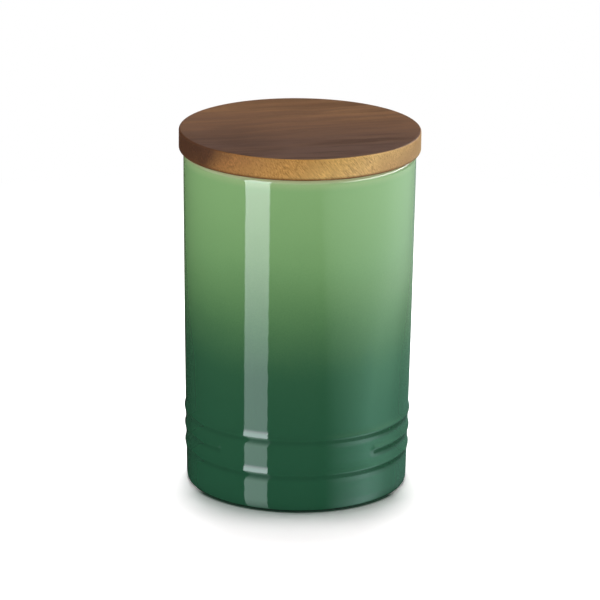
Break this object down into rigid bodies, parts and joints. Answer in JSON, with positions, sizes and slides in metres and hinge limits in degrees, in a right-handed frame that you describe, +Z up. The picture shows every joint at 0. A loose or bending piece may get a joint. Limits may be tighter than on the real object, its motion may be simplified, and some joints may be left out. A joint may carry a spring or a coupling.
{
  "type": "storage jar",
  "caption": "Cylindrical glazed stoneware storage jar with raised rings above the foot and a flat round wooden lid whose plug and lipped silicone seal close the mouth.",
  "frame": {"origin": "on the jar's axis, at the surface that it stands on", "axes": "+Z up along the jar's axis, -Y towards the front, where the middle ring stops"},
  "size_m": [0.104, 0.104, 0.1575],
  "materials": {
    "glaze": "glossy glaze, light green at the rim to dark green at the foot",
    "wood": "oiled hardwood, brown on top with a golden edge",
    "silicone": "translucent white silicone, satin"
  },
  "bodies": {
    "jar": {"jar_body": "glaze"},
    "seal": {"seal_ring": "silicone"},
    "lid": {"lid_board": "wood", "lid_plug": "wood"}
  },
  "joints": [
    {"name": "lid_lift", "type": "slide", "parent": "jar", "child": "seal", "axis": [0, 0, 1], "range_m": [0, 0.1]},
    {"name": "lid_turn", "type": "hinge", "parent": "seal", "child": "lid", "pos_m": [0, 0, 0.148], "axis": [0, 0, 1], "continuous": true}
  ]
}
